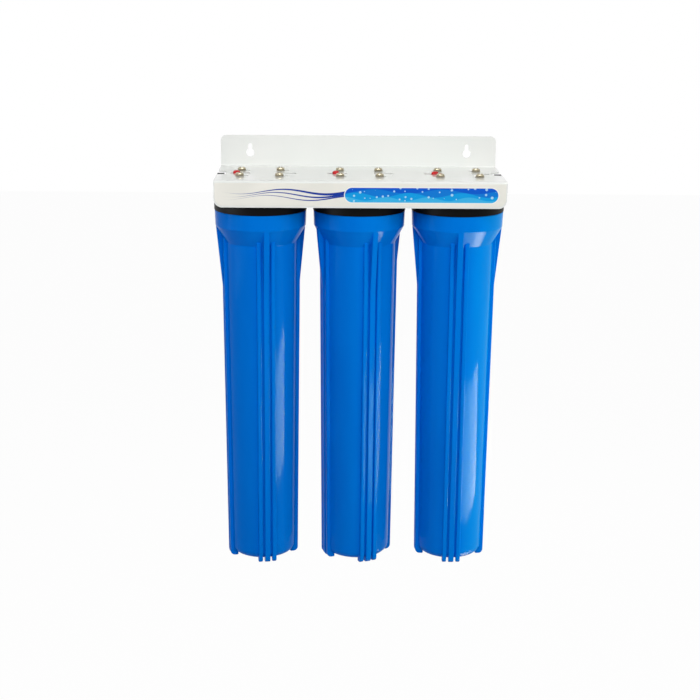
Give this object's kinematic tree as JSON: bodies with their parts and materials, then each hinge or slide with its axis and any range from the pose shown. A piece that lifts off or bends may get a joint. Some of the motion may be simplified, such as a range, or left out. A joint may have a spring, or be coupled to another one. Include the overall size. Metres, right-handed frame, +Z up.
{
  "type": "triple water filter system",
  "caption": "Wall-hung water filter: tall ribbed screw-on bowls with cartridges inside, under black caps with relief buttons on a bent white steel bracket.",
  "frame": {"origin": "on the bracket's rear face, midway between the keyholes, at the height where the wall screws' shanks sit", "axes": "+X from inlet to outlet along the bracket, +Y into the wall, +Z up"},
  "size_m": [0.42, 0.1586, 0.6293],
  "materials": {
    "white_powder_coat": "glossy powder coat",
    "cream_label_film": "printed film",
    "black_polypropylene": "moulded satin",
    "blue_polypropylene": "moulded gloss",
    "red_button_plastic": "moulded gloss",
    "black_rubber": "moulded",
    "zinc_plated_steel": "bright plated",
    "spring_steel": "drawn wire",
    "white_melt_blown_fibre": "felted fibre",
    "white_end_plastic": "moulded",
    "pressed_carbon": "matt granular"
  },
  "bodies": {
    "bracket_and_caps": {"bracket": "white_powder_coat", "front_label": "cream_label_film", "cap_1": "black_polypropylene", "relief_spring_1": "spring_steel", "cap_screw_1_1": "zinc_plated_steel", "screw_washer_1_1": "zinc_plated_steel", "cap_screw_1_2": "zinc_plated_steel", "screw_washer_1_2": "zinc_plated_steel", "cap_screw_1_3": "zinc_plated_steel", "screw_washer_1_3": "zinc_plated_steel", "cap_screw_1_4": "zinc_plated_steel", "screw_washer_1_4": "zinc_plated_steel", "cap_2": "black_polypropylene", "relief_spring_2": "spring_steel", "cap_screw_2_1": "zinc_plated_steel", "screw_washer_2_1": "zinc_plated_steel", "cap_screw_2_2": "zinc_plated_steel", "screw_washer_2_2": "zinc_plated_steel", "cap_screw_2_3": "zinc_plated_steel", "screw_washer_2_3": "zinc_plated_steel", "cap_screw_2_4": "zinc_plated_steel", "screw_washer_2_4": "zinc_plated_steel", "cap_3": "black_polypropylene", "relief_spring_3": "spring_steel", "cap_screw_3_1": "zinc_plated_steel", "screw_washer_3_1": "zinc_plated_steel", "cap_screw_3_2": "zinc_plated_steel", "screw_washer_3_2": "zinc_plated_steel", "cap_screw_3_3": "zinc_plated_steel", "screw_washer_3_3": "zinc_plated_steel", "cap_screw_3_4": "zinc_plated_steel", "screw_washer_3_4": "zinc_plated_steel", "port_nipple_1": "black_polypropylene", "port_nipple_2": "black_polypropylene"},
    "relief_button_1": {"relief_button_1": "red_button_plastic", "relief_seal_1": "black_rubber"},
    "cartridge_1": {"sediment_core": "white_end_plastic", "sediment_media": "white_melt_blown_fibre"},
    "sump_1": {"sump_1": "blue_polypropylene", "sump_o_ring_1": "black_rubber"},
    "relief_button_2": {"relief_button_2": "red_button_plastic", "relief_seal_2": "black_rubber"},
    "cartridge_2": {"granular_canister": "white_end_plastic", "granular_carbon_bed": "pressed_carbon", "granular_top_cap": "white_end_plastic", "granular_bottom_cap": "white_end_plastic", "granular_top_gasket": "black_rubber", "granular_bottom_gasket": "black_rubber"},
    "sump_2": {"sump_2": "blue_polypropylene", "sump_o_ring_2": "black_rubber"},
    "relief_button_3": {"relief_button_3": "red_button_plastic", "relief_seal_3": "black_rubber"},
    "cartridge_3": {"carbon_block": "pressed_carbon", "block_top_cap": "white_end_plastic", "block_bottom_cap": "white_end_plastic", "block_top_gasket": "black_rubber", "block_bottom_gasket": "black_rubber"},
    "sump_3": {"sump_3": "blue_polypropylene", "sump_o_ring_3": "black_rubber"}
  },
  "joints": [
    {"name": "relief_press_1", "type": "slide", "parent": "bracket_and_caps", "child": "relief_button_1", "axis": [0, 0, -1], "range_m": [0, 0.0025], "stiffness_N_per_m": 500, "springref_m": -0.003, "deforming": ["relief_spring_1"]},
    {"name": "cartridge_drop_1", "type": "slide", "parent": "bracket_and_caps", "child": "cartridge_1", "axis": [0, 0, -1], "range_m": [0, 0.0125]},
    {"name": "sump_unscrew_1", "type": "hinge", "parent": "cartridge_1", "child": "sump_1", "pos_m": [-0.143, -0.08, -0.0823], "axis": [0, 0, -1], "range_deg": [0, 900]},
    {"name": "relief_press_2", "type": "slide", "parent": "bracket_and_caps", "child": "relief_button_2", "axis": [0, 0, -1], "range_m": [0, 0.0025], "stiffness_N_per_m": 500, "springref_m": -0.003, "deforming": ["relief_spring_2"]},
    {"name": "cartridge_drop_2", "type": "slide", "parent": "bracket_and_caps", "child": "cartridge_2", "axis": [0, 0, -1], "range_m": [0, 0.0125]},
    {"name": "sump_unscrew_2", "type": "hinge", "parent": "cartridge_2", "child": "sump_2", "pos_m": [0, -0.08, -0.0823], "axis": [0, 0, -1], "range_deg": [0, 900]},
    {"name": "relief_press_3", "type": "slide", "parent": "bracket_and_caps", "child": "relief_button_3", "axis": [0, 0, -1], "range_m": [0, 0.0025], "stiffness_N_per_m": 500, "springref_m": -0.003, "deforming": ["relief_spring_3"]},
    {"name": "cartridge_drop_3", "type": "slide", "parent": "bracket_and_caps", "child": "cartridge_3", "axis": [0, 0, -1], "range_m": [0, 0.0125]},
    {"name": "sump_unscrew_3", "type": "hinge", "parent": "cartridge_3", "child": "sump_3", "pos_m": [0.143, -0.08, -0.0823], "axis": [0, 0, -1], "range_deg": [0, 900]}
  ],
  "couplings": [
    {"joint": "cartridge_drop_1", "follows": "sump_unscrew_1", "m_per_rad": 0.00079577},
    {"joint": "cartridge_drop_2", "follows": "sump_unscrew_2", "m_per_rad": 0.00079577},
    {"joint": "cartridge_drop_3", "follows": "sump_unscrew_3", "m_per_rad": 0.00079577}
  ]
}
